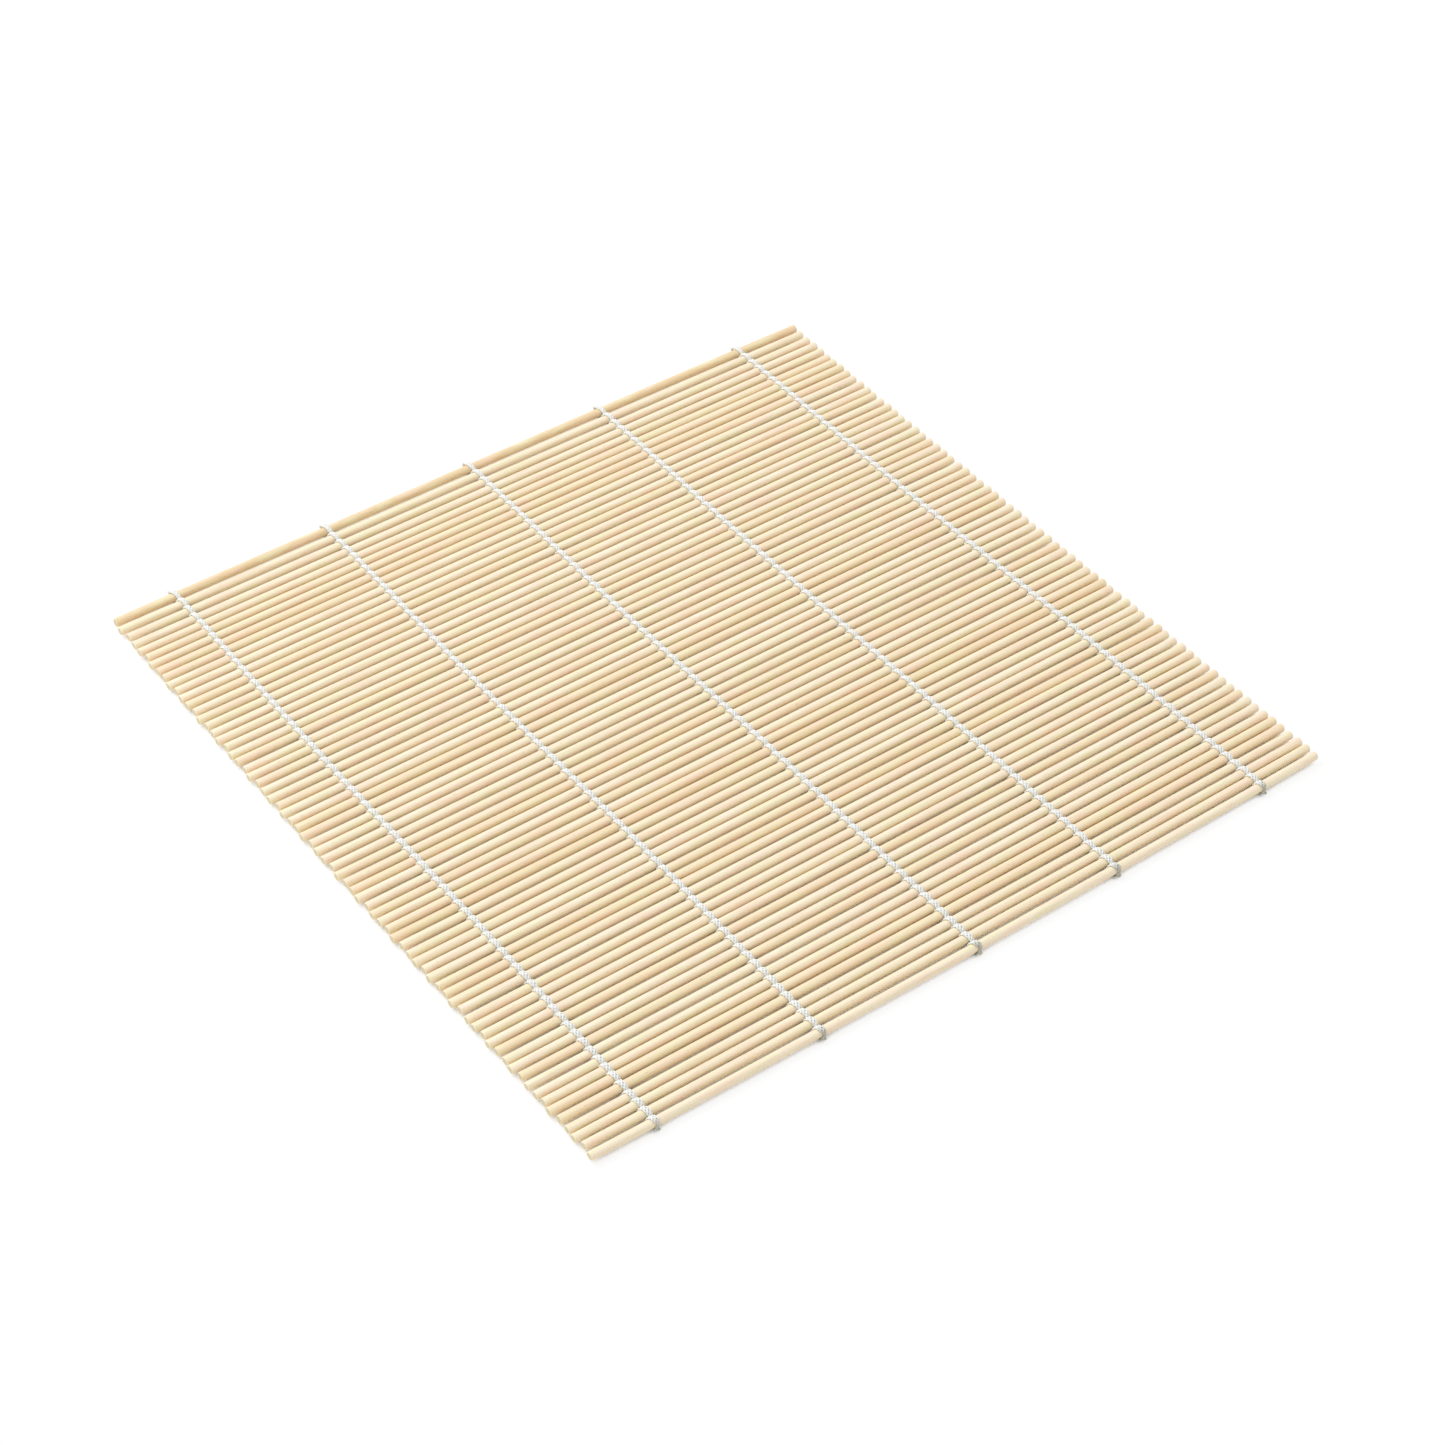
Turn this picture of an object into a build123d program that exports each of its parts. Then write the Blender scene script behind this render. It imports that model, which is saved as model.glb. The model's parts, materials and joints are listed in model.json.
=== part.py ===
from build123d import *
import os
from math import asin, cos, radians, sin, sqrt, tan

# A flat mat of round bamboo sticks, twined together by five rows of doubled cotton string.
# X runs along the sticks, Y from the near edge to the far edge, Z up. The mat lies on z = 0.

# Sticks
stick_length = 239.0
stick_diameter = 2.55
stick_end_round = 0.22
# The line of the cut ends drifts outwards by this much from the far edge to the near edge
stick_end_drift = 1.4
# Each end lies within this much of that line
stick_end_scatter = 0.4
# Turns, in degrees, of the waves that the two lines of ends follow over the whole mat
left_drift_turn = 125.0
right_drift_turn = 90.0
# Steps, in degrees, of the wave that scatters the cut ends
left_scatter_step = 137.0
right_scatter_step = 101.0

# Panels: sticks that stay side by side in one rigid strip, the wide ones at the far edge
wide_panel_count = 12
wide_panel_sticks = 3
narrow_panel_count = 17
narrow_panel_sticks = 2

# String: two strands twined over and under the sticks, crossing in every gap
strand_diameter = 0.62
# Play between a strand and the stick that it holds
strand_seat_gap = 0.03
# Play between the two strands where they cross
strand_pair_gap = 0.24
# How much wider the gap between two sticks is than one strand
crossing_room = 0.20
# Bend of a strand as a share of the radius that it wraps round
strand_bend_share = 0.76
# Depth of the flat that the strands' undersides have worn and rest on
strand_flat_depth = 0.06
# Most that one panel curls against the next, in degrees, and the play left there
curl_limit = 30.0
hinge_play = 0.05

# Places of the five rows of string along the sticks, from the left end to the right end
row_place_shares = (0.082, 0.292, 0.500, 0.697, 0.914)
# How far the loops round the far stick stand off it
loop_slack = 0.4

# Knots outside the near stick, each with two cut tails
knot_diameter = 1.8
knot_width = 2.2
knot_end_round = 0.6
tail_diameter = 0.62
tail_length = 2.4
# Turn of the tails away from each other, and down towards the table, in degrees
tail_splay = 24.0
tail_droop = 14.0

# Worked out from the sizes above
stick_radius = stick_diameter / 2
strand_radius = strand_diameter / 2
tail_radius = tail_diameter / 2
stick_pitch = stick_diameter + strand_diameter + crossing_room
wrap_radius = stick_radius + strand_seat_gap + strand_radius
strand_side = strand_radius + strand_pair_gap / 2
slope = asin(wrap_radius / (stick_pitch / 2))
corner_reach = stick_pitch / 2 - wrap_radius / tan(slope)
strand_bend = wrap_radius * strand_bend_share
strand_end_cut = strand_radius * tan(radians(curl_limit / 2)) + hinge_play
axis_height = wrap_radius + strand_radius - strand_flat_depth

# Panels as pairs of first and last stick, counted from the far edge
wide_sticks = wide_panel_count * wide_panel_sticks
stick_count = wide_sticks + narrow_panel_count * narrow_panel_sticks
wide_panels = [
    (first, first + wide_panel_sticks - 1)
    for first in range(1, wide_sticks + 1, wide_panel_sticks)
]
narrow_panels = [
    (first, first + narrow_panel_sticks - 1)
    for first in range(wide_sticks + 1, stick_count + 1, narrow_panel_sticks)
]
panels = wide_panels + narrow_panels

# The knots and tails reach further out than the loops, so the sticks stand off centre
knot_offset = stick_radius + strand_seat_gap + knot_diameter / 2
tail_level_share = cos(radians(tail_droop))
tail_outward_share = cos(radians(tail_splay)) * tail_level_share
tail_reach = tail_length * tail_outward_share + tail_radius * sqrt(1 - tail_outward_share**2)
near_reach = knot_offset + tail_reach
far_reach = wrap_radius + loop_slack + strand_radius
far_stick_y = (stick_count - 1) * stick_pitch / 2 + (near_reach - far_reach) / 2
knot_y = far_stick_y - (stick_count - 1) * stick_pitch - knot_offset
row_places = [(share - 1 / 2) * stick_length for share in row_place_shares]


def stick_y(number):
    """Place of a stick's axis, with stick 1 at the far edge."""
    return far_stick_y - (number - 1) * stick_pitch


def mat_share(number):
    """How far across the mat a stick lies: 0 at the far edge, 1 at the near edge."""
    return (number - 1) / (stick_count - 1)


def wave(number, step):
    """A repeatable spread between -1 and 1."""
    return sin(radians(number * step))


def cut_ends(number):
    """Where one stick begins and ends along X."""
    left_drift = stick_end_drift * wave(mat_share(number), left_drift_turn)
    right_drift = stick_end_drift * (1 - cos(radians(mat_share(number) * right_drift_turn)))
    left = -stick_length / 2 - left_drift + stick_end_scatter * wave(number, left_scatter_step)
    right = stick_length / 2 + right_drift + stick_end_scatter * wave(number, right_scatter_step)
    return left, right


def make_sticks(first, last):
    """The sticks of one panel, round and cut square with their rims just taken off."""
    with BuildPart() as sticks:
        for number in range(first, last + 1):
            left, right = cut_ends(number)
            with BuildSketch(Plane.YZ.offset(left)):
                with Locations((stick_y(number), axis_height)):
                    Circle(stick_radius)
            extrude(amount=right - left)
        fillet(sticks.edges().filter_by(GeomType.CIRCLE), radius=stick_end_round)
    return sticks.part


def strand_corners(first, last, over_odd):
    """Corner points of one strand past a panel's sticks, from the far side to the near side."""
    corners = []
    for number in range(first, last + 1):
        side = 1 if (number % 2 == 1) == over_odd else -1
        x = side * strand_side
        z = axis_height + side * wrap_radius
        corners.append(Vector(-x, stick_y(number) + corner_reach, z))
        corners.append(Vector(x, stick_y(number) - corner_reach, z))
    return corners


def short_of(corner, y, distance):
    """End of a straight run from a corner towards a line along X at axis height, short of the line."""
    line_point = Vector(corner.X, y, axis_height)
    return line_point + (corner - line_point).normalized() * distance


def near_end(corner, last):
    """Where a strand stops on the near side of its panel: in mid gap, or at the knot."""
    if last == stick_count:
        return short_of(corner, knot_y, knot_diameter / 2 + strand_seat_gap)
    return short_of(corner, stick_y(last) - stick_pitch / 2, strand_end_cut)


def strand_routes(first, last):
    """The corner lists of the solids that one row has in one panel."""
    over = strand_corners(first, last, True)
    under = strand_corners(first, last, False)
    over_finish = near_end(over[-1], last)
    under_finish = near_end(under[-1], last)
    if first == 1:
        outside = stick_y(1) + wrap_radius + loop_slack
        top = Vector(-strand_side, outside, over[0].Z)
        bottom = Vector(strand_side, outside, under[0].Z)
        return [[over_finish] + over[:0:-1] + [top, bottom] + under[1:] + [under_finish]]
    gap_y = stick_y(first) + stick_pitch / 2
    over_start = short_of(over[0], gap_y, strand_end_cut)
    under_start = short_of(under[0], gap_y, strand_end_cut)
    return [[over_start] + over + [over_finish], [under_start] + under + [under_finish]]


def make_strand(corners):
    """One round strand along straight runs joined by arcs."""
    with BuildPart() as strand:
        with BuildLine() as route:
            FilletPolyline(*corners, radius=strand_bend)
        with BuildSketch(Plane(origin=route.line @ 0, z_dir=route.line % 0)):
            Circle(strand_radius)
        sweep(path=route.line)
    return strand.part


def make_stitches(first, last):
    """The rows of strands that hold one panel's sticks, worn flat where they touch the table."""
    strands = [make_strand(corners) for corners in strand_routes(first, last)]
    with BuildPart() as stitches:
        with Locations(*[(row_x, 0) for row_x in row_places]):
            add(strands)
        split(bisect_by=Plane.XY, keep=Keep.TOP)
    return stitches.part


def make_knots():
    """One tight knot per row outside the near stick, with its two cut tails."""
    with BuildPart() as knots:
        for row_x in row_places:
            with BuildSketch(Plane.YZ.offset(row_x - knot_width / 2)):
                with Locations((knot_y, axis_height)):
                    Circle(knot_diameter / 2)
            extrude(amount=knot_width)
        fillet(knots.edges().filter_by(GeomType.CIRCLE), radius=knot_end_round)
        for row_x in row_places:
            for turn in (-tail_splay, tail_splay):
                heading = Vector(
                    sin(radians(turn)) * tail_level_share,
                    -tail_outward_share,
                    -sin(radians(tail_droop)),
                )
                with BuildSketch(Plane(origin=(row_x, knot_y, axis_height), z_dir=heading)):
                    Circle(tail_radius)
                extrude(amount=tail_length)
    return knots.part


os.makedirs("parts", exist_ok=True)

for first, last in panels:
    names = f"{first:02d}_to_{last:02d}"
    sticks = make_sticks(first, last)
    sticks.label = "sticks_" + names
    export_step(sticks, f"parts/sticks_{names}.step")
    stitches = make_stitches(first, last)
    stitches.label = "stitches_" + names
    export_step(stitches, f"parts/stitches_{names}.step")

knots = make_knots()
knots.label = "near_edge_knots"
export_step(knots, "parts/near_edge_knots.step")
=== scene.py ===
# %% [markdown]
# A sushi rolling mat: seventy round bamboo sticks, twined together by five rows of doubled cotton
# string. The construction is fixed and comes packed: every stick and every length of string is
# there, grouped in rigid panels with a hinge between each two. This script dresses it. It loads
# that frame, remakes the sticks and the string as the real ones look, and gives them their
# finishes.

# %% Load the frame
import json
import math
import random

import bmesh
import bpy
import numpy as np
from mathutils import Matrix, Vector

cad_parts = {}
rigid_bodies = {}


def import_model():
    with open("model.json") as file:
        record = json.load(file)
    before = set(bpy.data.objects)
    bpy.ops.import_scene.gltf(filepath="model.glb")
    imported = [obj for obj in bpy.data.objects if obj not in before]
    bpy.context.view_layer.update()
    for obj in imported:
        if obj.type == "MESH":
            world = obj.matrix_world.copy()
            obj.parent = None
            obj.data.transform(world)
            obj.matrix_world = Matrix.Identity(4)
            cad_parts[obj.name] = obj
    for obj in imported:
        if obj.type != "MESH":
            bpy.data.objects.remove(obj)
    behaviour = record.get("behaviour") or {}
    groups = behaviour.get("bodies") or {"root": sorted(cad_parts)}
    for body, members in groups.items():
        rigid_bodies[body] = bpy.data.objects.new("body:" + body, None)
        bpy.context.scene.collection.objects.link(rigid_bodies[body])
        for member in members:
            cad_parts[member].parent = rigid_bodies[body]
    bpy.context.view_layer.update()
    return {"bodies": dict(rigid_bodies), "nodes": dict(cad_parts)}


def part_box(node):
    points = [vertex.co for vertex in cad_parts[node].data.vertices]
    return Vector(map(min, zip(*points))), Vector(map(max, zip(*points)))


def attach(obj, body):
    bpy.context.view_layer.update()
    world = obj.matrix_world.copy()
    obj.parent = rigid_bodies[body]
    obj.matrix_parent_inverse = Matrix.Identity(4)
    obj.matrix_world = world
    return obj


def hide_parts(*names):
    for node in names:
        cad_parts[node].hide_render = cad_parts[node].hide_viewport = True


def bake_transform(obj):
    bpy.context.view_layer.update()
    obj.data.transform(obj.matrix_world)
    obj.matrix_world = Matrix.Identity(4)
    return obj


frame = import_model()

# %% [markdown]
# The frame is in metres, and a mat is measured in millimetres, so one value turns one into the
# other. What can be read from the frame is read from it: the thickness and spacing of the sticks
# come from the box round the first three, and each stick's cut ends come from the vertices of its
# own solid.

# %% Sizes
MM = 0.001

panel_names = sorted(frame["bodies"])
panels = [(int(name[6:8]), int(name[-2:])) for name in panel_names]
stick_count = panels[-1][1]

low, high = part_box("sticks_01_to_03")
stick_radius = (high.z - low.z) / 2
axis_height = (high.z + low.z) / 2
stick_pitch = (high.y - low.y - 2 * stick_radius) / (panels[0][1] - panels[0][0])
far_stick_y = high.y - stick_radius


def stick_y(number):
    """Place of a stick's axis, counted from the far edge."""
    return far_stick_y - (number - 1) * stick_pitch


def cut_ends(first, last):
    """Where the sticks of one panel begin and end along X."""
    solid = frame["nodes"][f"sticks_{first:02d}_to_{last:02d}"]
    points = np.array([v.co for v in solid.data.vertices])
    ends = {}
    for number in range(first, last + 1):
        own = points[abs(points[:, 1] - stick_y(number)) < stick_pitch / 2]
        ends[number] = (own[:, 0].min(), own[:, 0].max())
    return ends


stick_ends = {}
for first, last in panels:
    stick_ends.update(cut_ends(first, last))
print(f"{stick_count} sticks, {2 * stick_radius / MM:.2f} mm thick,", end=" ")
print(f"{stick_pitch / MM:.2f} mm apart")

# %% [markdown]
# The camera stands where the photograph was taken from: left of the middle and above the near
# edge, far enough away for a long lens to frame the mat with room around it. The picture leans a
# little, as a hand-held one does, so the camera is rolled by that much.

# %% Camera
view_azimuth = math.radians(-37.97)
view_elevation = math.radians(43.65)
view_roll = math.radians(1.86)
view_distance = 0.9277
view_target = Vector((-2.4, -10.3, 0)) * MM
# The picture's width on a sensor this wide gives this lens
sensor_mm = 36
lens_mm = 84.65
# The camera sees things out to this many metres, which takes in the whole table
sight = 10

back = Vector((
    math.sin(view_azimuth) * math.cos(view_elevation),
    -math.cos(view_azimuth) * math.cos(view_elevation),
    math.sin(view_elevation),
))
camera_data = bpy.data.cameras.new("camera")
camera_data.lens = lens_mm
camera_data.sensor_width = sensor_mm
camera_data.clip_end = sight
camera = bpy.data.objects.new("camera", camera_data)
bpy.context.scene.collection.objects.link(camera)
facing = back.to_track_quat("Z", "Y").to_matrix().to_4x4() @ Matrix.Rotation(view_roll, 4, "Z")
camera.matrix_world = Matrix.Translation(view_target + back * view_distance) @ facing
bpy.context.scene.camera = camera
print("camera at", [round(value, 3) for value in camera.location])

# %% [markdown]
# No stick is quite straight, and none is quite as thick as the next. Splitting and drawing the
# bamboo leaves a slow bow, a slight taper and a few hundredths of a millimetre of waviness, and
# the strings let each stick sit a little nearer one neighbour than the other. The rows were pulled
# tighter in some places than in others, so the spacing swells and shrinks slowly across the mat.
# The whole mat has also crept a little out of square, and its nearest sticks curve back at their
# ends. One function gives a stick's offset at any place along it, so that the string can be
# wrapped round the same bent stick later.

# %% How each stick differs
# The most that a stick bows, lies off its place, leans at its ends, and rises or falls
bow_mm = 0.12
shift_mm = 0.12
lean_mm = 0.13
lift_mm = 0.04
# A bow is measured from this share of itself, so that a bowed stick doesn't leave its place
bow_balance = 0.4
# How often a stick's slow waviness comes and goes, and how much of the bow it adds
wave_turns = (1.2, 2.4)
wave_share = 0.25
# How far the right ends have crept towards the near edge
skew_mm = 0.45
# How far the nearest stick's ends curve back, and how fast that fades over the sticks behind it
edge_curve_mm = 0.8
edge_fade = 6
# How far the slow swelling of the spacing moves a stick, how often it comes and goes over the mat,
# and where on the mat, as a share of it, it pushes furthest
spacing_mm = 0.25
spacing_turns = 1.6
spacing_start = 0.3
# The first sticks have spread outwards, and those behind them have been drawn together
first_moves_mm = (0.75, 0.25, -0.15, -0.3, -0.35, -0.3, -0.2, -0.1)
# How far the middle of the very first stick bows out between its ends
first_bow_mm = 0.5
# How much shorter the left ends are cut than the construction's, and how far the line of the right
# ends turns back towards square at each edge
left_trim_mm = 1.2
right_turn_mm = 0.7
# How much of the unevenness of the right ends is evened out, over a run of this many sticks
right_evening = 0.6
evening_run = 7
# How much more the last stick of all is drawn in at its ends, and how much more at the right one
last_curve_mm = 0.4
last_lean_mm = 0.2
# Sticks are up to this share thinner or thicker than nominal, and more of them are thinner
thickness_spread = 0.03
thickness_range = (-1, 0.6)
taper_spread = 0.02
# Tones run from 0, the palest, to this, and the first stick alone is darker, at 1
darkest_tone = 0.9
stick_seed = 1000
half_length = (stick_ends[1][1] - stick_ends[1][0]) / 2


def even_right_end(number):
    """Where a stick's right end lies once the line of its neighbours' ends is evened out."""
    reach = evening_run // 2
    run = [stick_ends[n][1] for n in range(number - reach, number + reach + 1) if n in stick_ends]
    own = stick_ends[number][1]
    return own + (sum(run) / len(run) - own) * right_evening


class Stick:
    """The small departures of one stick from a straight rod of the nominal size."""

    def __init__(self, number):
        chance = random.Random(stick_seed + number)
        self.number = number
        across = (number - 1) / (stick_count - 1)
        self.left = stick_ends[number][0] + left_trim_mm * MM
        self.right = even_right_end(number) + right_turn_mm * MM * (1 - 2 * across)
        swelling = spacing_mm * math.cos(2 * math.pi * spacing_turns * (across - spacing_start))
        move = first_moves_mm[number - 1] if number <= len(first_moves_mm) else 0
        self.shift = (swelling + move + shift_mm * chance.uniform(-1, 1)) * MM
        self.lean = lean_mm * MM * chance.uniform(-1, 1)
        self.bow = bow_mm * MM * chance.uniform(-1, 1)
        self.lift = lift_mm * MM * chance.uniform(-1, 1)
        self.wave_turns = chance.uniform(*wave_turns)
        self.wave_start = chance.uniform(0, 2 * math.pi)
        self.thickness = 1 + thickness_spread * chance.uniform(*thickness_range)
        self.taper = taper_spread * chance.uniform(-1, 1)
        self.tone = darkest_tone * chance.random()
        self.skew = skew_mm * MM
        self.curve = edge_curve_mm * MM * across ** edge_fade
        if number == stick_count:
            self.curve += last_curve_mm * MM
            self.lean += last_lean_mm * MM
        if number == 1:
            self.curve -= first_bow_mm * MM
            self.tone = 1.0

    def place(self, x):
        """The stick's axis at x, as (y, z)."""
        share = x / half_length
        wave = math.sin(self.wave_turns * math.pi * share + self.wave_start)
        y = self.shift + (self.lean - self.skew) * share
        y += (self.bow + self.curve) * (share * share - bow_balance) + wave_share * self.bow * wave
        z = self.lift * wave
        return stick_y(self.number) + y, axis_height + z

    def radius(self, x):
        """The stick's radius at x."""
        return stick_radius * (self.thickness + self.taper * x / half_length)


sticks = {number: Stick(number) for number in range(1, stick_count + 1)}
in_order = list(sticks.values())
gaps = [
    far.place(0)[0] - near.place(0)[0] - far.radius(0) - near.radius(0)
    for far, near in zip(in_order, in_order[1:])
]
print(f"gaps between sticks: {min(gaps) / MM:.2f} to {max(gaps) / MM:.2f} mm")

# %% [markdown]
# Colours are written as the hex values that a picture editor shows and turned to the linear values
# that Blender computes with. One function adds a node with its settings and links, so that each
# material reads as a list of its steps.

# %% Colour and node helpers


def linear(hex_colour):
    """An sRGB hex colour as the linear RGBA that shaders take."""
    channels = [int(hex_colour[i:i + 2], 16) / 255 for i in (1, 3, 5)]
    return [c / 12.92 if c <= 0.04045 else ((c + 0.055) / 1.055) ** 2.4 for c in channels] + [1.0]


def node(tree, kind, settings=None, **inputs):
    """A node of a kind, its properties set, and each input given a value or a link."""
    made = tree.nodes.new("ShaderNode" + kind)
    for key, value in (settings or {}).items():
        setattr(made, key, value)
    for key, value in inputs.items():
        # i0, i1 and so on name an input by its place, anything else by its own name
        socket = made.inputs[int(key[1:]) if key[1:].isdigit() else key.replace("_", " ")]
        if isinstance(value, bpy.types.NodeSocket):
            tree.links.new(value, socket)
        else:
            socket.default_value = value
    return made


def new_material(name):
    """An empty node material and its tree."""
    material = bpy.data.materials.new(name)
    material.use_nodes = True
    material.node_tree.nodes.clear()
    return material, material.node_tree


def ramp(tree, factor, stops):
    """A colour ramp through (place, hex colour) stops."""
    made = node(tree, "ValToRGB", i0=factor)
    elements = made.color_ramp.elements
    while len(elements) < len(stops):
        elements.new(0.5)
    for element, (place, colour) in zip(elements, stops):
        element.position = place
        element.color = linear(colour)
    return made.outputs["Color"]


print("the palest bamboo is", [round(c, 3) for c in linear("#F7EBD4")])

# %% [markdown]
# Bamboo for such sticks is split from the culm, drawn through a round die and left bare. That
# gives a satin surface: pale straw, with long fine fibres that are a little darker, slow blushes
# of yellow and pink where the culm was nearer its skin, and here and there a short brown fleck.
# Each mark is a noise drawn out along X, the streaks a hundredfold, because the fibres run the
# length of the stick. A real fibre bundle is about 0.2 mm wide, so the streaks are drawn at 0.3
# mm, the finest that shows. Down the flanks, where the sticks face each other across the gaps, a
# deeper warm colour is painted in as shade; the tops and undersides keep the plain colour.

# %% Drawn bamboo
streak_width = 0.3 * MM
streak_length = 30 * MM
blush_width = 2.0 * MM
blush_length = 11 * MM
fleck_width = 0.4 * MM
fleck_length = 1.6 * MM
# Between which two values of its noise each mark comes in, and how strong it then is
warm_marks, cool_marks, blush_share = (0.5, 0.68), (0.5, 0.32), 0.65
streak_marks, streak_share = (0.50, 0.78), 0.5
fleck_marks, fleck_share = (0.74, 0.80), 0.5
# The same for the painted shade down the flanks, with 0 on top of a stick and 1 at its sides
flank_shade_marks, flank_shade_share = (0.35, 0.95), 0.35
# Roughness from the smooth streaks to the open ones
streak_span = (0.3, 0.7)
bamboo_roughness = (0.50, 0.66)


def stretched(tree, coordinates, length, width, **settings):
    """Noise drawn out along X, with features of one length and one width."""
    scaled = node(tree, "Mapping", Vector=coordinates, Scale=(1 / length, 1 / width, 1 / width))
    noise = node(tree, "TexNoise", Vector=scaled.outputs["Vector"], Scale=1.0, **settings)
    return noise.outputs["Fac"]


def blend_colour(tree, factor, first, second):
    """Two colours mixed by a factor."""
    made = node(tree, "Mix", {"data_type": "RGBA"}, i0=factor, i6=first, i7=second)
    return made.outputs[2]


def map_range(tree, value, low, high, to_low=0.0, to_high=1.0):
    """A value stretched from one range to another and kept inside it."""
    made = node(tree, "MapRange", Value=value, i1=low, i2=high, i3=to_low, i4=to_high)
    return made.outputs["Result"]


def bamboo_colour(tree, coordinates):
    """Drawn bamboo's colour, with painted shade down the flanks, and its streaks for the bump."""
    tone = node(tree, "Attribute", {"attribute_name": "stick_tone"}).outputs["Fac"]
    ground = ramp(tree, tone, [
        (0.0, "#F7EBD4"),
        (0.5, "#F6E7CB"),
        (0.85, "#F4E0BE"),
        (1.0, "#E8CEA4"),
    ])
    blush = stretched(tree, coordinates, blush_length, blush_width, Detail=2.0)
    warm = map_range(tree, blush, *warm_marks, 0.0, blush_share)
    cool = map_range(tree, blush, *cool_marks, 0.0, blush_share)
    colour = blend_colour(tree, warm, ground, linear("#F6DAC2"))
    colour = blend_colour(tree, cool, colour, linear("#EEE7C0"))
    streak = stretched(tree, coordinates, streak_length, streak_width, Detail=3.0, Roughness=0.6)
    dark = map_range(tree, streak, *streak_marks, 0.0, streak_share)
    colour = blend_colour(tree, dark, colour, linear("#E6C793"))
    fleck = stretched(tree, coordinates, fleck_length, fleck_width, Detail=1.0)
    spot = map_range(tree, fleck, *fleck_marks, 0.0, fleck_share)
    colour = blend_colour(tree, spot, colour, linear("#C09C6C"))
    # Painted shade: a deeper warm colour down the flanks, where the sticks face each other
    flank_shade = node(tree, "Attribute", {"attribute_name": "stick_flank"}).outputs["Fac"]
    depth = map_range(tree, flank_shade, *flank_shade_marks, 0.0, flank_shade_share)
    colour = blend_colour(tree, depth, colour, linear("#EDCE94"))
    return colour, streak


def make_bamboo():
    """Bare drawn bamboo: a satin surface over long fibres."""
    material, tree = new_material("bamboo_drawn_bare")
    coordinates = node(tree, "TexCoord").outputs["Object"]
    colour, streak = bamboo_colour(tree, coordinates)
    bump = node(tree, "Bump", Height=streak, Strength=0.25, Distance=0.05 * MM)
    rough = map_range(tree, streak, *streak_span, *bamboo_roughness)
    shader = node(
        tree, "BsdfPrincipled",
        Base_Color=colour, Roughness=rough, IOR=1.5, Normal=bump.outputs["Normal"],
    )
    node(tree, "OutputMaterial", Surface=shader.outputs["BSDF"])
    return material


bamboo = make_bamboo()
print("made", bamboo.name)

# %% [markdown]
# A cut end shows the bamboo's grain end on: a pale ground packed with darker dots, each of them a
# bundle of fibres. A Voronoi pattern has one cell for each bundle, and the distance to the cell's
# middle, cut off short, makes the dot. The saw leaves the face dull. Both colours are also greyer
# and darker than the end grain's own, as painted shade on the sawn ends.

# %% Cut bamboo end
bundle_spacing = 0.38 * MM
# Where a bundle's dot begins to end and has ended, as shares of the spacing
dot_edge = (0.22, 0.34)


def make_cut_end():
    """Sawn end grain with the dots of its fibre bundles."""
    material, tree = new_material("bamboo_end_grain_sawn")
    coordinates = node(tree, "TexCoord").outputs["Object"]
    spread = 1 / bundle_spacing
    scaled = node(tree, "Mapping", Vector=coordinates, Scale=(0, spread, spread))
    dots = node(tree, "TexVoronoi", Vector=scaled.outputs["Vector"], Scale=1.0).outputs["Distance"]
    size = map_range(tree, dots, *dot_edge)
    # Partly the end grain's own colours, partly painted shade: both are darkened and greyed
    colour = blend_colour(tree, size, linear("#B3A57C"), linear("#DACFAA"))
    bump = node(tree, "Bump", Height=size, Strength=0.3, Distance=0.05 * MM)
    shader = node(
        tree, "BsdfPrincipled",
        Base_Color=colour, Roughness=0.75, IOR=1.5, Normal=bump.outputs["Normal"],
    )
    node(tree, "OutputMaterial", Surface=shader.outputs["BSDF"])
    return material


cut_end = make_cut_end()
print("made", cut_end.name)

# %% [markdown]
# The string is bleached cotton. Its yarns, twisted together, give it the small slanting ribs,
# which are real geometry here. What the material adds is the fibre inside each yarn: a fine
# unevenness in the white, and a soft matt surface with a little sheen from the loose hairs. The
# knots, and the string over the last stick, are painted a little grey as shade.

# %% Cotton string
# A cotton fibre is far too fine to show, so the unevenness is as coarse as small tufts of fibres
fibre_size = 0.25 * MM


def make_cotton():
    """Bleached cotton yarn, soft and matt."""
    material, tree = new_material("cotton_string_bleached")
    coordinates = node(tree, "TexCoord").outputs["Object"]
    scaled = node(tree, "Mapping", Vector=coordinates, Scale=(1 / fibre_size,) * 3)
    noise = node(tree, "TexNoise", Vector=scaled.outputs["Vector"], Scale=1.0, Detail=2.0)
    fibre = noise.outputs["Fac"]
    colour = ramp(tree, fibre, [(0.3, "#E8EAE8"), (0.6, "#F2F3F1"), (1.0, "#F8F9F6")])
    # Painted shade: the knots and the string over the last stick are mixed towards grey
    knot_shade = node(tree, "Attribute", {"attribute_name": "string_grime"}).outputs["Fac"]
    colour = blend_colour(tree, knot_shade, colour, linear("#B7B6A8"))
    bump = node(tree, "Bump", Height=fibre, Strength=0.2, Distance=0.04 * MM)
    shader = node(
        tree, "BsdfPrincipled",
        Base_Color=colour, Roughness=0.9, IOR=1.46, Sheen_Weight=0.2,
        Normal=bump.outputs["Normal"],
    )
    node(tree, "OutputMaterial", Surface=shader.outputs["BSDF"])
    return material


cotton = make_cotton()
print("made", cotton.name)

# %% [markdown]
# Each stick is its own piece. It starts as a cylinder, which is stood along X, cut into rings so
# that it can bend, and given a softened rim, because the saw and handling take the sharp edge off.
# Then every vertex follows the stick's own bow and taper. The end faces get the end grain.

# %% Sticks
stick_sides = 20
stick_rings = 36
rim_round = 0.26 * MM
rim_steps = 3
stick_collection = bpy.data.collections.new("sticks")
bpy.context.scene.collection.children.link(stick_collection)


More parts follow.
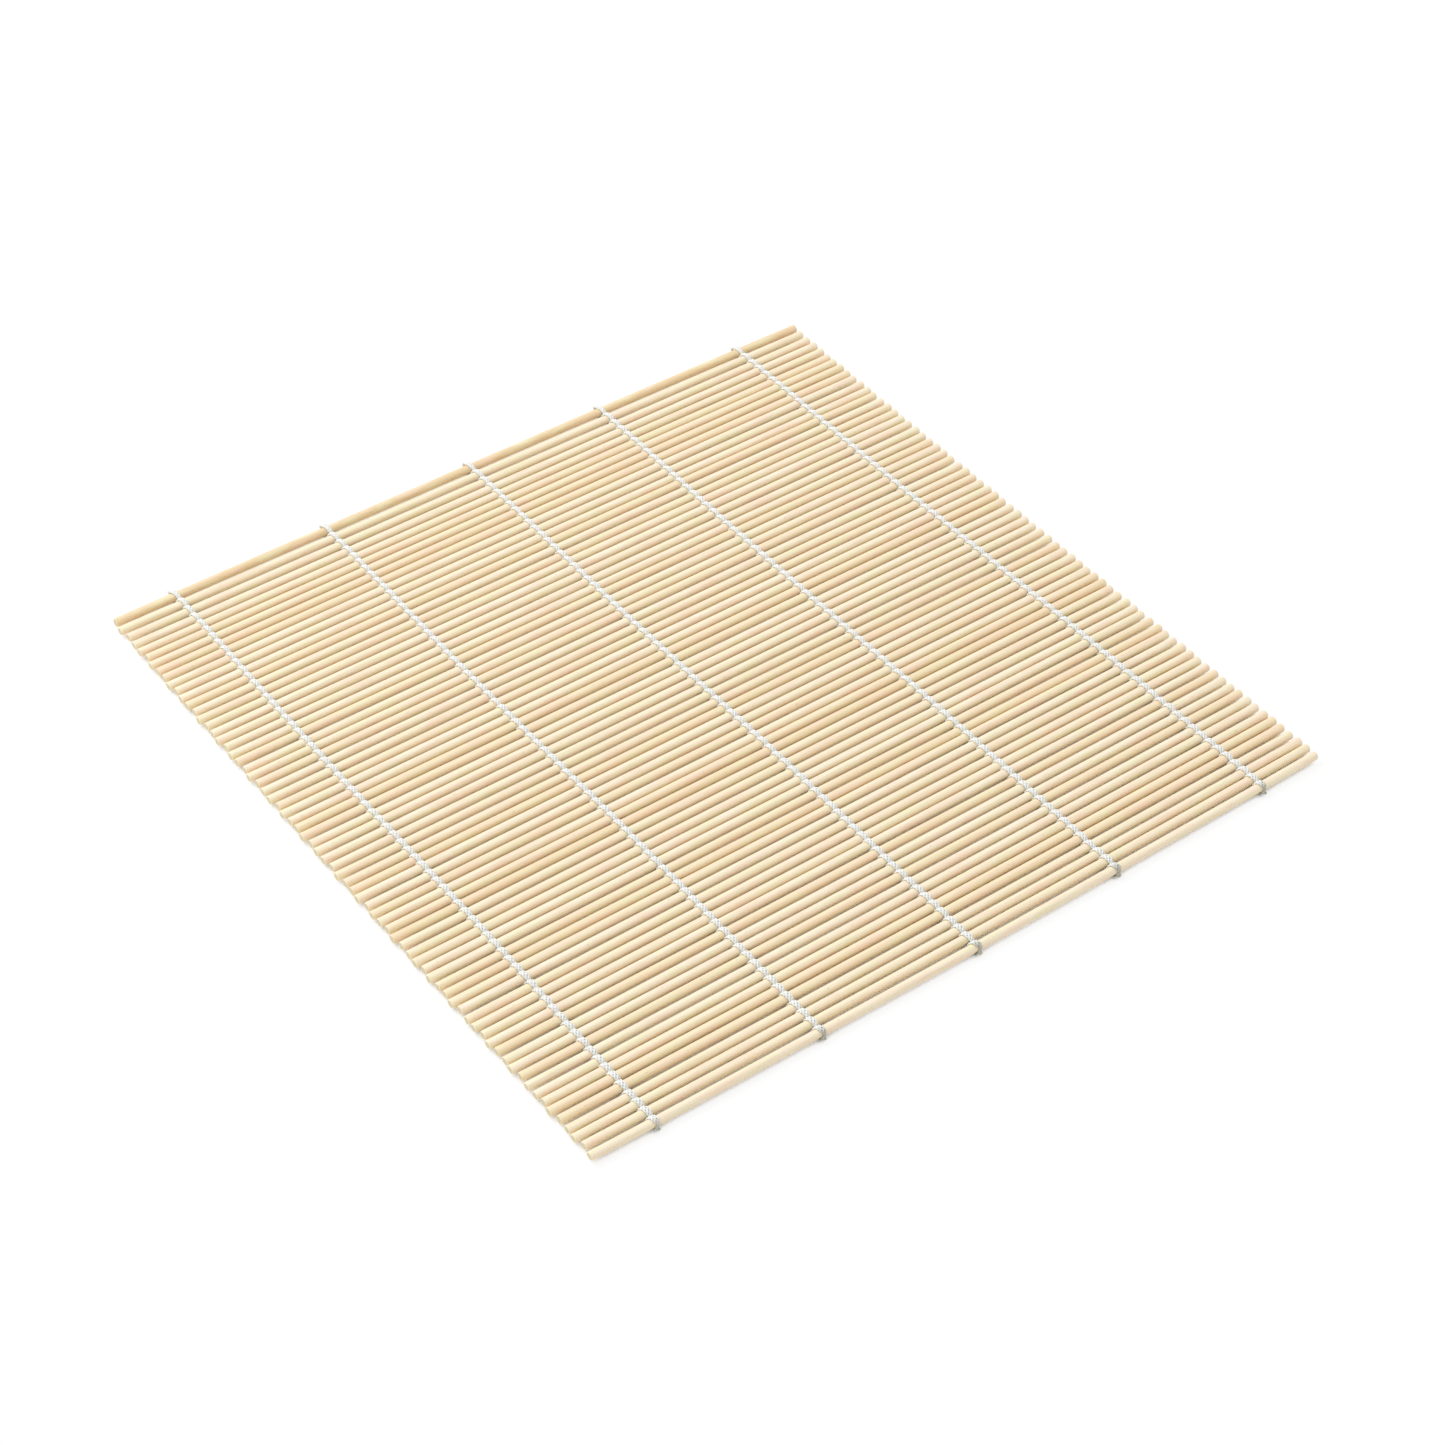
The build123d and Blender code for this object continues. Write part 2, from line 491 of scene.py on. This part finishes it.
def make_stick(stick, panel_name, node_name):
    """One bamboo stick, bent and tapered as its numbers say."""
    bm = bmesh.new()
    length = stick.right - stick.left
    bmesh.ops.create_cone(
        bm, cap_ends=True, segments=stick_sides,
        radius1=stick_radius, radius2=stick_radius, depth=length,
    )
    bmesh.ops.rotate(bm, verts=bm.verts, matrix=Matrix.Rotation(math.pi / 2, 3, "Y"))
    bmesh.ops.translate(bm, verts=bm.verts, vec=((stick.left + stick.right) / 2, 0, 0))
    rims = [e for e in bm.edges if abs(e.verts[0].co.x - e.verts[1].co.x) < length / 2]
    bmesh.ops.bevel(
        bm, geom=rims, affect="EDGES", offset=rim_round, segments=rim_steps,
        profile=0.5, material=-1,
    )
    runs = [e for e in bm.edges if abs(e.verts[0].co.x - e.verts[1].co.x) > length / 2]
    bmesh.ops.subdivide_edges(bm, edges=runs, cuts=stick_rings, use_grid_fill=True)
    for face in bm.faces:
        face.smooth = True
        if len(face.verts) == stick_sides:
            face.material_index = 1
            face.smooth = False
    # How near each point lies to the stick's sides before the bend, for the painted shade down the
    # flanks
    flank_shades = [1 - abs(vertex.co.z) / stick_radius for vertex in bm.verts]
    for vertex in bm.verts:
        y, z = stick.place(vertex.co.x)
        scale = stick.radius(vertex.co.x) / stick_radius
        vertex.co.y = y + vertex.co.y * scale
        vertex.co.z = z + vertex.co.z * scale
    mesh = bpy.data.meshes.new(f"stick_{stick.number:02d}")
    bm.to_mesh(mesh)
    bm.free()
    mesh.materials.append(bamboo)
    mesh.materials.append(cut_end)
    tone = mesh.attributes.new("stick_tone", "FLOAT", "POINT")
    tone.data.foreach_set("value", [stick.tone] * len(mesh.vertices))
    flank_shade = mesh.attributes.new("stick_flank", "FLOAT", "POINT")
    flank_shade.data.foreach_set("value", flank_shades)
    piece = bpy.data.objects.new(mesh.name, mesh)
    stick_collection.objects.link(piece)
    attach(piece, panel_name)
    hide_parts(node_name)
    return piece


faces = 0
for (first, last), panel_name in zip(panels, panel_names):
    for number in range(first, last + 1):
        made = make_stick(sticks[number], panel_name, f"sticks_{first:02d}_to_{last:02d}")
        faces += len(made.data.polygons)
print("made", stick_count, "sticks with", faces, "faces")

# %% [markdown]
# One string makes a whole row. It is folded in the middle round the first stick, and its two
# halves go on side by side, one over and one under each stick, and change places in every gap. So
# the route of a row is one long line: from the near edge over and under to the far edge, round the
# first stick, and back again on the other side of every stick. Two points for each stick are
# enough, because the smooth spline through them rounds the corners the way the string does.

# %% Route of the string
strand_radius = 0.34 * MM
seat_gap = 0.02 * MM
# The spline cuts inside its corner points, so these stand this much further out than the string
corner_allowance = 1.01
# Half of how far a strand moves sideways on top of a stick, and below it
top_lean = 0.28 * MM
under_lean = 0.66 * MM
# How far each row drifts along the sticks between the far edge and the near edge, and how all sway
row_drift_mm = (-1.7, -1.0, -0.2, 0.4, 1.3)
row_sway_mm = 0.3
sway_turns = 1.5
# How far a stitch may lie off the line of its row
jitter_mm = 0.07
# How far the loop round the far stick stands off it, and how far it leans to the left
loop_slack = 0.8 * MM
loop_lean = 0.6 * MM
# The string never runs steeper between two sticks than the angle with this sine
steepest = 0.97
# Stitches that are further apart than this along the sticks belong to different rows
row_break = 4 * stick_radius
row_count = len(row_drift_mm)


def row_places():
    """Where the rows cross the sticks, from the vertices of one panel's stitches."""
    along = np.sort([v.co.x for v in frame["nodes"]["stitches_04_to_06"].data.vertices])
    rows = np.split(along, np.flatnonzero(np.diff(along) > row_break) + 1)
    return [(row[0] + row[-1]) / 2 for row in rows]


places = row_places()


def row_x(row, number):
    """Where a row crosses a stick."""
    share = (number - 1) / (stick_count - 1)
    drift = row_drift_mm[row] * (share - 0.5)
    sway = row_sway_mm * math.cos(2 * math.pi * sway_turns * share)
    # A row and a stick, read as one number, seed the place of their stitch
    jitter = random.Random(row * 100 + number).uniform(-jitter_mm, jitter_mm)
    return places[row] + (drift + sway + jitter) * MM


def stick_corners(row, number, side):
    """The two corner points of the string past one stick, above it or below, from far to near."""
    middle = row_x(row, number)
    stick = sticks[number]
    y, z = stick.place(middle)
    wrap = stick.radius(middle) + seat_gap + strand_radius
    half_gap = stick_pitch / 2
    reach = half_gap - wrap / math.tan(math.asin(min(steepest, wrap / half_gap)))
    lean = top_lean if side > 0 else under_lean
    return [
        Vector((middle - side * lean, y + reach, z + side * wrap * corner_allowance)),
        Vector((middle + side * lean, y - reach, z + side * wrap * corner_allowance)),
    ]


def half_route(row, over_odd):
    """Corner points of one half of a row's string, from the far stick to the near one."""
    corners = []
    for number in range(1, stick_count + 1):
        side = 1 if (number % 2 == 1) == over_odd else -1
        corners += stick_corners(row, number, side)
    return corners


print("rows at", [round(place / MM, 1) for place in places], "mm")

# %% [markdown]
# Outside the near stick the two halves are tied in a small tight knot and cut short. Each half
# goes once round the other and leaves as a tail, so the knot's points are a turn about the line of
# the knot, worked out by its angle, and two more points for the tail.

# %% Knots
# The turn that each half makes: its radius, and how far out from the last stick and down it lies
knot_turn_radius = 0.22 * MM
knot_offset = 1.55 * MM
knot_drop = 0.45 * MM
# Points in the turn, the angle in degrees at which it starts, and the angle between two points
turn_points = 8
knot_start = 100
knot_step = 48
# After this many steps the turn has come from its own side to the middle of the knot
crossing_step = 4.5
# Length of a tail, how much the tails differ, where along itself a tail bends, and how far below
# the middle of the knot it starts
tail_length = 0.55 * MM
tail_spread = (0.75, 1.15)
tail_bend = 0.35
tail_drop = 0.1 * MM
# How far a tail turns to the side and down for each step outwards
tail_side = (0.2, 0.6)
tail_fall = (-0.9, -0.4)
knot_seed = 500


def knot_points(row, side):
    """The end of one half of the string: a turn round the other half, then the tail."""
    chance = random.Random(knot_seed + row * 2 + side)
    last = sticks[stick_count]
    middle = row_x(row, stick_count)
    y, z = last.place(middle)
    centre = Vector((middle, y - knot_offset, z - knot_drop))
    points = []
    for step in range(turn_points):
        angle = math.radians(side * (knot_start - knot_step * step))
        along = side * top_lean * (1 - step / crossing_step)
        points.append(centre + Vector((
            along, -math.cos(angle) * knot_turn_radius, math.sin(angle) * knot_turn_radius,
        )))
    lean = chance.uniform(*tail_side) * -side
    heading = Vector((lean, -1, chance.uniform(*tail_fall))).normalized()
    start = centre + Vector((-side * top_lean / 2, -knot_turn_radius, -tail_drop))
    length = tail_length * chance.uniform(*tail_spread)
    points += [start + heading * length * tail_bend, start + heading * length]
    return points


def full_route(row):
    """All corner points of one row: near edge to far edge, round the first stick, and back."""
    over = half_route(row, True)
    under = half_route(row, False)
    far = sticks[1]
    middle = row_x(row, 1)
    y, z = far.place(middle)
    wrap = (far.radius(middle) + seat_gap + strand_radius) * corner_allowance
    outside = y + wrap + loop_slack
    top = Vector((middle - top_lean - loop_lean, outside, z + wrap))
    bottom = Vector((middle + under_lean - loop_lean, outside, z - wrap))
    over_end = knot_points(row, 1 if over[-1].z > axis_height else -1)
    under_end = knot_points(row, 1 if under[-1].z > axis_height else -1)
    return over_end[::-1] + over[:0:-1] + [top, bottom] + under[1:] + under_end


print("points in a row:", len(full_route(0)))

# %% [markdown]
# Blender's NURBS spline turns the corner points into the smooth line of the string. A spline of
# order 3 runs through the middle of each leg and rounds each corner, which is how a string bends
# round a stick. The line is read back as points, and the yarns are wound round those.

# %% Smooth line of a row
# Points that the spline gives between two corner points
line_steps = 8


def smooth_line(corners):
    """The points of the spline through a route."""
    curve = bpy.data.curves.new("route", "CURVE")
    curve.dimensions = "3D"
    spline = curve.splines.new("NURBS")
    spline.points.add(len(corners) - 1)
    for point, corner in zip(spline.points, corners):
        point.co = (*corner, 1)
    spline.order_u = 3
    spline.use_endpoint_u = True
    spline.resolution_u = line_steps
    guide = bpy.data.objects.new("route", curve)
    mesh = bpy.data.meshes.new_from_object(guide)
    points = np.array([v.co for v in mesh.vertices])
    bpy.data.meshes.remove(mesh)
    bpy.data.objects.remove(guide)
    bpy.data.curves.remove(curve)
    return points


def unit(vectors):
    """Each vector at length one."""
    return vectors / np.linalg.norm(vectors, axis=-1, keepdims=True)


def side_vectors(points):
    """For each point of a line, two directions square to it that turn as little as they can."""
    along = unit(np.gradient(points, axis=0))
    first = np.zeros_like(points)
    side = np.cross(along[0], (0.0, 0.0, 1.0))
    for i, direction in enumerate(along):
        side = side - direction * (side @ direction)
        side = side / np.linalg.norm(side)
        first[i] = side
    return first, np.cross(along, first)


lines = [smooth_line(full_route(row)) for row in range(row_count)]
print("points in a smooth row:", len(lines[0]))

# %% [markdown]
# Three soft yarns lie round a fourth and turn about it together, once in three millimetres. The
# string is pulled hard over the bamboo, so there it lies flat and wide. In the gaps it is rounder,
# and in the knot quite round. Where a tail was cut the yarns spread, because nothing holds the
# twist there. The turn is measured along the whole row, so the twist goes on without a break from
# one length to the next.

# %% Yarns of the string
ply_count = 3
ply_radius = 0.26 * MM
ply_offset = 0.26 * MM
# How much wider and thinner than round the string lies over a stick, and in a gap
flat_width, flat_height = 3.0, 0.32
gap_width, gap_height = 1.7, 0.55
# How sharply it goes from the one to the other as it turns down into a gap
flattening = 1.5
# The string was pulled tighter at the far edge, and is this much narrower there
far_narrowing = 0.2
lay_length = 3.0 * MM
# The last stretch of the string, in the knot, is round and thinner
knot_stretch = 4.0 * MM
knot_width = 0.55
knot_thinning = 0.25
# Over this length of its cut tails the yarns come apart by this much
fray_length = 0.6 * MM
fray_spread = 1.6


def plies(points):
    """The yarns of one row, as points with a thickness, and the length of the string."""
    steps = np.linalg.norm(np.diff(points, axis=0), axis=1)
    distance = np.concatenate([[0], np.cumsum(steps)])
    ends = np.minimum(distance, distance[-1] - distance)
    spread = 1 + (fray_spread - 1) * np.clip(1 - ends / fray_length, 0, 1) ** 2
    first, second = side_vectors(points)
    along = unit(np.gradient(points, axis=0))
    sideways = np.array([1.0, 0.0, 0.0]) - along * along[:, :1]
    level = np.abs(along[:, 1:2]) ** flattening
    knotted = np.clip(2 * (1 - ends / knot_stretch), 0, 1)[:, None]
    across = far_stick_y - stick_y(stick_count)
    near_share = np.clip((far_stick_y - points[:, 1:2]) / across, 0, 1)
    width = (gap_width + (flat_width - gap_width) * level) * (1 - far_narrowing * (1 - near_share))
    width = width * (1 - knotted) + knot_width * knotted
    height = gap_height + (flat_height - gap_height) * level
    height = height * (1 - knotted) + knot_width * knotted
    thickness = 1 - knot_thinning * knotted
    yarns = [np.hstack([points, thickness])]
    for ply in range(ply_count):
        angle = 2 * np.pi * (distance / lay_length + ply / ply_count)
        turned = np.cos(angle)[:, None] * first + np.sin(angle)[:, None] * second
        offset = ply_offset * spread[:, None] * turned
        share = np.sum(offset * sideways, axis=1, keepdims=True)
        line = points + height * offset + (width - height) * share * sideways
        yarns.append(np.hstack([line, thickness]))
    return yarns, distance[-1]


row_plies = [plies(line) for line in lines]
print("string in a row:", round(row_plies[0][1] * 100, 1), "cm")

# %% [markdown]
# The mat bends between panels, so the string is made in lengths, one for each bend, which run from
# the middle of one panel to the middle of the next. Each yarn is a curve with a round bevel,
# turned to a mesh, and where it would reach through the table it is pressed flat.

# %% String
# A bevel of resolution 1 gives a yarn six sides, which look round at this size
yarn_resolution = 1
# How much painted shade greys the string at the last stick, and how far beyond it the shade is
# full
knot_shade_start = 0.3
knot_shade_reach = 2.0 * MM


def tube_mesh(name, runs):
    """A mesh of round yarns along several runs of points."""
    curve = bpy.data.curves.new(name, "CURVE")
    curve.dimensions = "3D"
    curve.bevel_depth = ply_radius
    curve.bevel_resolution = yarn_resolution
    curve.use_fill_caps = True
    for run in runs:
        spline = curve.splines.new("POLY")
        spline.points.add(len(run) - 1)
        spline.points.foreach_set("co", np.hstack([run[:, :3], np.ones((len(run), 1))]).ravel())
        spline.points.foreach_set("radius", run[:, 3])
    guide = bpy.data.objects.new(name, curve)
    mesh = bpy.data.meshes.new_from_object(guide)
    bpy.data.objects.remove(guide)
    bpy.data.curves.remove(curve)
    for vertex in mesh.vertices:
        vertex.co.z = max(vertex.co.z, 0.0)
    mesh.name = name
    mesh.shade_smooth()
    return mesh


def add_knot_shade(mesh):
    """Mark the painted shade on the string: full at the knots, fading out over the last stick."""
    away = np.array([stick_y(stick_count) - vertex.co.y for vertex in mesh.vertices])
    knot_shade = mesh.attributes.new("string_grime", "FLOAT", "POINT")
    knot_shade.data.foreach_set("value", np.clip(away / knot_shade_reach + knot_shade_start, 0, 1))


def runs_between(line, yarns, low_y, high_y):
    """The stretches of a row's yarns whose middle line lies between two places along Y."""
    inside = (line[:, 1] <= high_y) & (line[:, 1] >= low_y)
    edges = np.flatnonzero(np.diff(np.concatenate([[False], inside, [False]]).astype(int)))
    runs = []
    for start, stop in zip(edges[::2], edges[1::2]):
        stop = min(stop + 1, len(line))
        runs += [yarn[start:stop] for yarn in yarns]
    return runs


def make_string(k):
    """The string of all five rows from the middle of panel k to the middle of the next."""
    nearest = k == len(panels) - 2
    middles = [(stick_y(a) + stick_y(b)) / 2 for a, b in panels]
    high_y = math.inf if k == 0 else middles[k]
    low_y = -math.inf if nearest else middles[k + 1]
    runs = []
    for line, (yarns, _) in zip(lines, row_plies):
        runs += runs_between(line, yarns, low_y, high_y)
    last = panels[k][1]
    mesh = tube_mesh(f"string_{last:02d}_{last + 1:02d}", runs)
    add_knot_shade(mesh)
    mesh.materials.append(cotton)
    piece = bpy.data.objects.new(mesh.name, mesh)
    bpy.context.scene.collection.objects.link(piece)
    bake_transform(piece)
    nodes = [f"stitches_{panel_names[k + 1][6:]}"]
    if k == 0:
        nodes.append(f"stitches_{panel_names[0][6:]}")
    if nearest:
        nodes.append("near_edge_knots")
    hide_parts(*nodes)
    return piece


triangles = 0
for k in range(len(panels) - 1):
    piece = make_string(k)
    piece.data.calc_loop_triangles()
    triangles += len(piece.data.loop_triangles)
print("made the string in", len(panels) - 1, "lengths with", triangles, "triangles")

# %% [markdown]
# The mat lies on a plain white table that shows no edge. The table is a large sheet of matt white,
# which throws light back up between the sticks. Where the table is open to the sky it turns into a
# plain white that only the picture sees, straight or mirrored, and the world behind it does the
# same, so no horizon shows. How open a point is comes from the Ambient Occlusion node, which looks
# for anything within a few millimetres of it, so the table stays real between the sticks and close
# beside them. Enough of the real table is left everywhere to keep a light shadow. Seen from below
# the table isn't there at all, so that the underside of the mat can be looked at.

# %% Table surface
floor_size = 6.0
# How near a thing must be to count as covering the table, and how many rays look for one
cover_reach = 6.0 * MM
cover_rays = 8
# From which openness the table turns white, and at which it has all of this share of white
open_from, open_by = 0.28, 0.52
white_share = 0.85
# How far from the middle of the mat, in metres, the last of the real table fades out and is gone
fade_from, fade_by = 0.18, 0.32


def seen_by_picture(tree):
    """One for rays that end up in the picture: from the camera, mirrored or through glass."""
    path = node(tree, "LightPath")
    mirrored = node(
        tree, "Math", {"operation": "MAXIMUM"},
        i0=path.outputs["Is Glossy Ray"], i1=path.outputs["Is Transmission Ray"],
    )
    seen = node(
        tree, "Math", {"operation": "MAXIMUM"},
        i0=path.outputs["Is Camera Ray"], i1=mirrored.outputs["Value"],
    )
    return seen.outputs["Value"]


def make_table():
    """Matt white that turns to plain white in the picture where nothing is close."""
    material, tree = new_material("table_matt_white")
    coordinates = node(tree, "TexCoord").outputs["Object"]
    cover = node(tree, "AmbientOcclusion", {"samples": cover_rays}, Distance=cover_reach)
    beside = map_range(tree, cover.outputs["AO"], open_from, open_by, 0.0, white_share)
    away = node(tree, "VectorMath", {"operation": "LENGTH"}, i0=coordinates).outputs["Value"]
    further = map_range(tree, away, fade_from, fade_by, 0.0, 1.0 - white_share)
    fade = node(tree, "Math", {"operation": "ADD"}, i0=beside, i1=further).outputs["Value"]
    share = node(tree, "Math", {"operation": "MULTIPLY"}, i0=fade, i1=seen_by_picture(tree))
    matt = node(tree, "BsdfDiffuse", Color=linear("#FCFCFC"))
    white = node(tree, "Emission", Color=linear("#FFFFFF"), Strength=1.0)
    above = node(
        tree, "MixShader",
        i0=share.outputs["Value"], i1=matt.outputs["BSDF"], i2=white.outputs["Emission"],
    )
    nothing = node(tree, "BsdfTransparent")
    below = node(tree, "NewGeometry").outputs["Backfacing"]
    mixed = node(
        tree, "MixShader", i0=below, i1=above.outputs["Shader"], i2=nothing.outputs["BSDF"],
    )
    node(tree, "OutputMaterial", Surface=mixed.outputs["Shader"])
    return material


table_white = make_table()
print("made", table_white.name)

# %% [markdown]
# The mat can be curled downwards as well as upwards, which in real life is done in the hand. So
# that the table never hides a curled mat, it sinks until it lies just under the lowest stick. A
# small tree of geometry nodes does that: it measures the box round all sticks as they lie now, and
# moves the table down by as much as the lowest of them has gone below its place in the flat mat.
# Under a third of a millimetre of room stays below the string, so that a little light reaches its
# underside when it is looked at from there.

# %% Table
string_room = 0.3 * MM
lowest_flat = min(v.co.z for stick in stick_collection.objects for v in stick.data.vertices)


def sinking_tree(collection, level):
    """Geometry nodes that move a floor down when anything in a collection goes below a level."""
    tree = bpy.data.node_groups.new("table_under_mat", "GeometryNodeTree")
    tree.interface.new_socket("Geometry", in_out="INPUT", socket_type="NodeSocketGeometry")
    tree.interface.new_socket("Geometry", in_out="OUTPUT", socket_type="NodeSocketGeometry")
    sheet = tree.nodes.new("NodeGroupInput")
    info = tree.nodes.new("GeometryNodeCollectionInfo")
    info.transform_space = "RELATIVE"
    info.inputs["Collection"].default_value = collection
    real = tree.nodes.new("GeometryNodeRealizeInstances")
    tree.links.new(info.outputs["Instances"], real.inputs["Geometry"])
    box = tree.nodes.new("GeometryNodeBoundBox")
    tree.links.new(real.outputs["Geometry"], box.inputs["Geometry"])
    lowest = node(tree, "SeparateXYZ", Vector=box.outputs["Min"])
    sunk = node(tree, "Math", {"operation": "SUBTRACT"}, i0=lowest.outputs["Z"], i1=level)
    drop = node(tree, "Math", {"operation": "MINIMUM"}, i0=sunk.outputs["Value"], i1=0.0)
    shift = node(tree, "CombineXYZ", Z=drop.outputs["Value"])
    move = tree.nodes.new("GeometryNodeTransform")
    tree.links.new(sheet.outputs["Geometry"], move.inputs["Geometry"])
    tree.links.new(shift.outputs["Vector"], move.inputs["Translation"])
    result = tree.nodes.new("NodeGroupOutput")
    tree.links.new(move.outputs["Geometry"], result.inputs["Geometry"])
    return tree


bpy.ops.mesh.primitive_plane_add(size=floor_size)
floor = bpy.context.active_object
floor.name = "floor"
floor.data.materials.append(table_white)
floor.modifiers.new("under_mat", "NODES").node_group = sinking_tree(
    stick_collection, lowest_flat + string_room,
)
above_table = lowest_flat + string_room
print("floor of", floor_size, "m, lowest stick", round(above_table / MM, 2), "mm above it")

# %% [markdown]
# The photograph was taken in soft, even light, with just enough of a direction that each stick is
# a little brighter on its far side and darker down towards the viewer. A plain pale world gives
# the even part. A large round lamp, a metre and a half up behind the mat and to its left, stands
# for the window. Together they are as bright as plain daylight, at which a colour shows about as
# it is written.

# %% Light
fill_strength = 0.785
fill_colour = "#FCFCFB"
lamp_power = 15.0
lamp_size = 1.1
lamp_place = Vector((-0.5, 0.85, 1.4))

world = bpy.data.worlds.new("studio")
bpy.context.scene.world = world
world.use_nodes = True
tree = world.node_tree
tree.nodes.clear()
fill = node(tree, "Background", Color=linear(fill_colour), Strength=fill_strength)
white = node(tree, "Background", Color=linear("#FFFFFF"), Strength=1.0)
mixed = node(
    tree, "MixShader",
    i0=seen_by_picture(tree), i1=fill.outputs["Background"], i2=white.outputs["Background"],
)
node(tree, "OutputWorld", Surface=mixed.outputs["Shader"])

lamp_data = bpy.data.lights.new("window", "AREA")
lamp_data.shape = "DISK"
lamp_data.size = lamp_size
lamp_data.energy = lamp_power
lamp = bpy.data.objects.new("window", lamp_data)
bpy.context.scene.collection.objects.link(lamp)
lamp.location = lamp_place
lamp.rotation_euler = lamp_place.to_track_quat("Z", "Y").to_euler()
bpy.context.scene.view_settings.view_transform = "Standard"
print("lamp of", lamp_power, "W at", [round(value, 2) for value in lamp.location])

# %% Finish
print("the mat is dressed")
